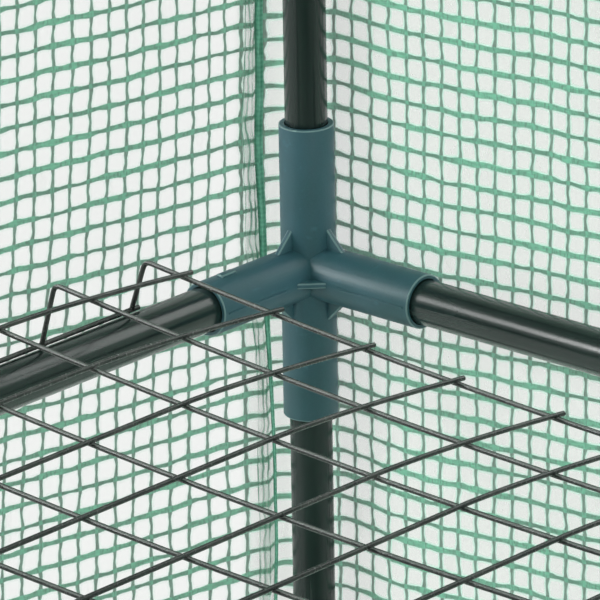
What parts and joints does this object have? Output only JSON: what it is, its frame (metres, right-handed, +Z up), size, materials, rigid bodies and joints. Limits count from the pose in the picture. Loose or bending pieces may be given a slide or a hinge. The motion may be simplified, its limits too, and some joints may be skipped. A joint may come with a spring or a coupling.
{
  "type": "greenhouse",
  "caption": "Small two-tier garden greenhouse: dark green tube frame in moulded connectors, wire shelves and a reinforced film cover with a zipped door.",
  "frame": {"origin": "bottom centre of the bounding box, on the ground under the middle of the greenhouse", "axes": "+Z up, +X to the right seen from the front, the zipped door on the -Y side"},
  "size_m": [0.6904, 0.5104, 0.9435],
  "materials": {
    "frame_steel": "gloss paint on thin steel tube",
    "connector_plastic": "satin moulded plastic",
    "shelf_wire": "dark coated wire",
    "cover_film": "clear film with a green woven scrim",
    "zip_tape": "woven tape",
    "zip_metal": "plated zinc"
  },
  "bodies": {
    "frame": {"cover_back": "cover_film", "cover_front_left": "cover_film", "cover_front_right": "cover_film", "cover_left": "cover_film", "cover_right": "cover_film", "cover_roof": "cover_film", "eaves_connector_back_left": "connector_plastic", "eaves_connector_back_right": "connector_plastic", "eaves_connector_front_left": "connector_plastic", "eaves_connector_front_right": "connector_plastic", "eaves_rail_back": "frame_steel", "eaves_rail_front": "frame_steel", "foot_back_left": "connector_plastic", "foot_back_right": "connector_plastic", "foot_front_left": "connector_plastic", "foot_front_right": "connector_plastic", "leg_back_left": "frame_steel", "leg_back_right": "frame_steel", "leg_front_left": "frame_steel", "leg_front_right": "frame_steel", "middle_post_back_left": "frame_steel", "middle_post_back_right": "frame_steel", "middle_post_front_left": "frame_steel", "middle_post_front_right": "frame_steel", "rafter_back_left": "frame_steel", "rafter_back_right": "frame_steel", "rafter_front_left": "frame_steel", "rafter_front_right": "frame_steel", "ridge_connector_left": "connector_plastic", "ridge_connector_right": "connector_plastic", "ridge_tube": "frame_steel", "tier1_connector_back_left": "connector_plastic", "tier1_connector_back_right": "connector_plastic", "tier1_connector_front_left": "connector_plastic", "tier1_connector_front_right": "connector_plastic", "tier1_rail_back": "frame_steel", "tier1_rail_front": "frame_steel", "tier1_rail_left": "frame_steel", "tier1_rail_right": "frame_steel", "tier2_connector_back_left": "connector_plastic", "tier2_connector_back_right": "connector_plastic", "tier2_connector_front_left": "connector_plastic", "tier2_connector_front_right": "connector_plastic", "tier2_rail_back": "frame_steel", "tier2_rail_front": "frame_steel", "tier2_rail_left": "frame_steel", "tier2_rail_right": "frame_steel", "upper_post_back_left": "frame_steel", "upper_post_back_right": "frame_steel", "upper_post_front_left": "frame_steel", "upper_post_front_right": "frame_steel", "zip_tape_left": "zip_tape", "zip_tape_right": "zip_tape"},
    "shelf_1": {"shelf_1": "shelf_wire"},
    "shelf_2": {"shelf_2": "shelf_wire"},
    "door": {"door_panel": "cover_film"},
    "zip_slider_left": {"zip_slider_left": "zip_metal"},
    "zip_slider_right": {"zip_slider_right": "zip_metal"},
    "zip_pull_left": {"zip_pull_left": "zip_metal"},
    "zip_pull_right": {"zip_pull_right": "zip_metal"}
  },
  "joints": [
    {"name": "shelf_1_lift", "type": "slide", "parent": "frame", "child": "shelf_1", "axis": [0, 0, 1], "range_m": [0, 0.06]},
    {"name": "shelf_2_lift", "type": "slide", "parent": "frame", "child": "shelf_2", "axis": [0, 0, 1], "range_m": [0, 0.06]},
    {"name": "door_swing", "type": "hinge", "parent": "frame", "child": "door", "pos_m": [0, -0.2464, 0.80524], "axis": [-1, 0, 0], "range_deg": [0, 100]},
    {"name": "zip_left_travel", "type": "slide", "parent": "frame", "child": "zip_slider_left", "axis": [0, 0, 1], "range_m": [0, 0.72]},
    {"name": "pull_left_swing", "type": "hinge", "parent": "zip_slider_left", "child": "zip_pull_left", "pos_m": [-0.2965, -0.2532, 0.043], "axis": [-1, 0, 0], "range_deg": [0, 150]},
    {"name": "zip_right_travel", "type": "slide", "parent": "frame", "child": "zip_slider_right", "axis": [0, 0, 1], "range_m": [0, 0.72]},
    {"name": "pull_right_swing", "type": "hinge", "parent": "zip_slider_right", "child": "zip_pull_right", "pos_m": [0.2965, -0.2532, 0.043], "axis": [-1, 0, 0], "range_deg": [0, 150]}
  ]
}
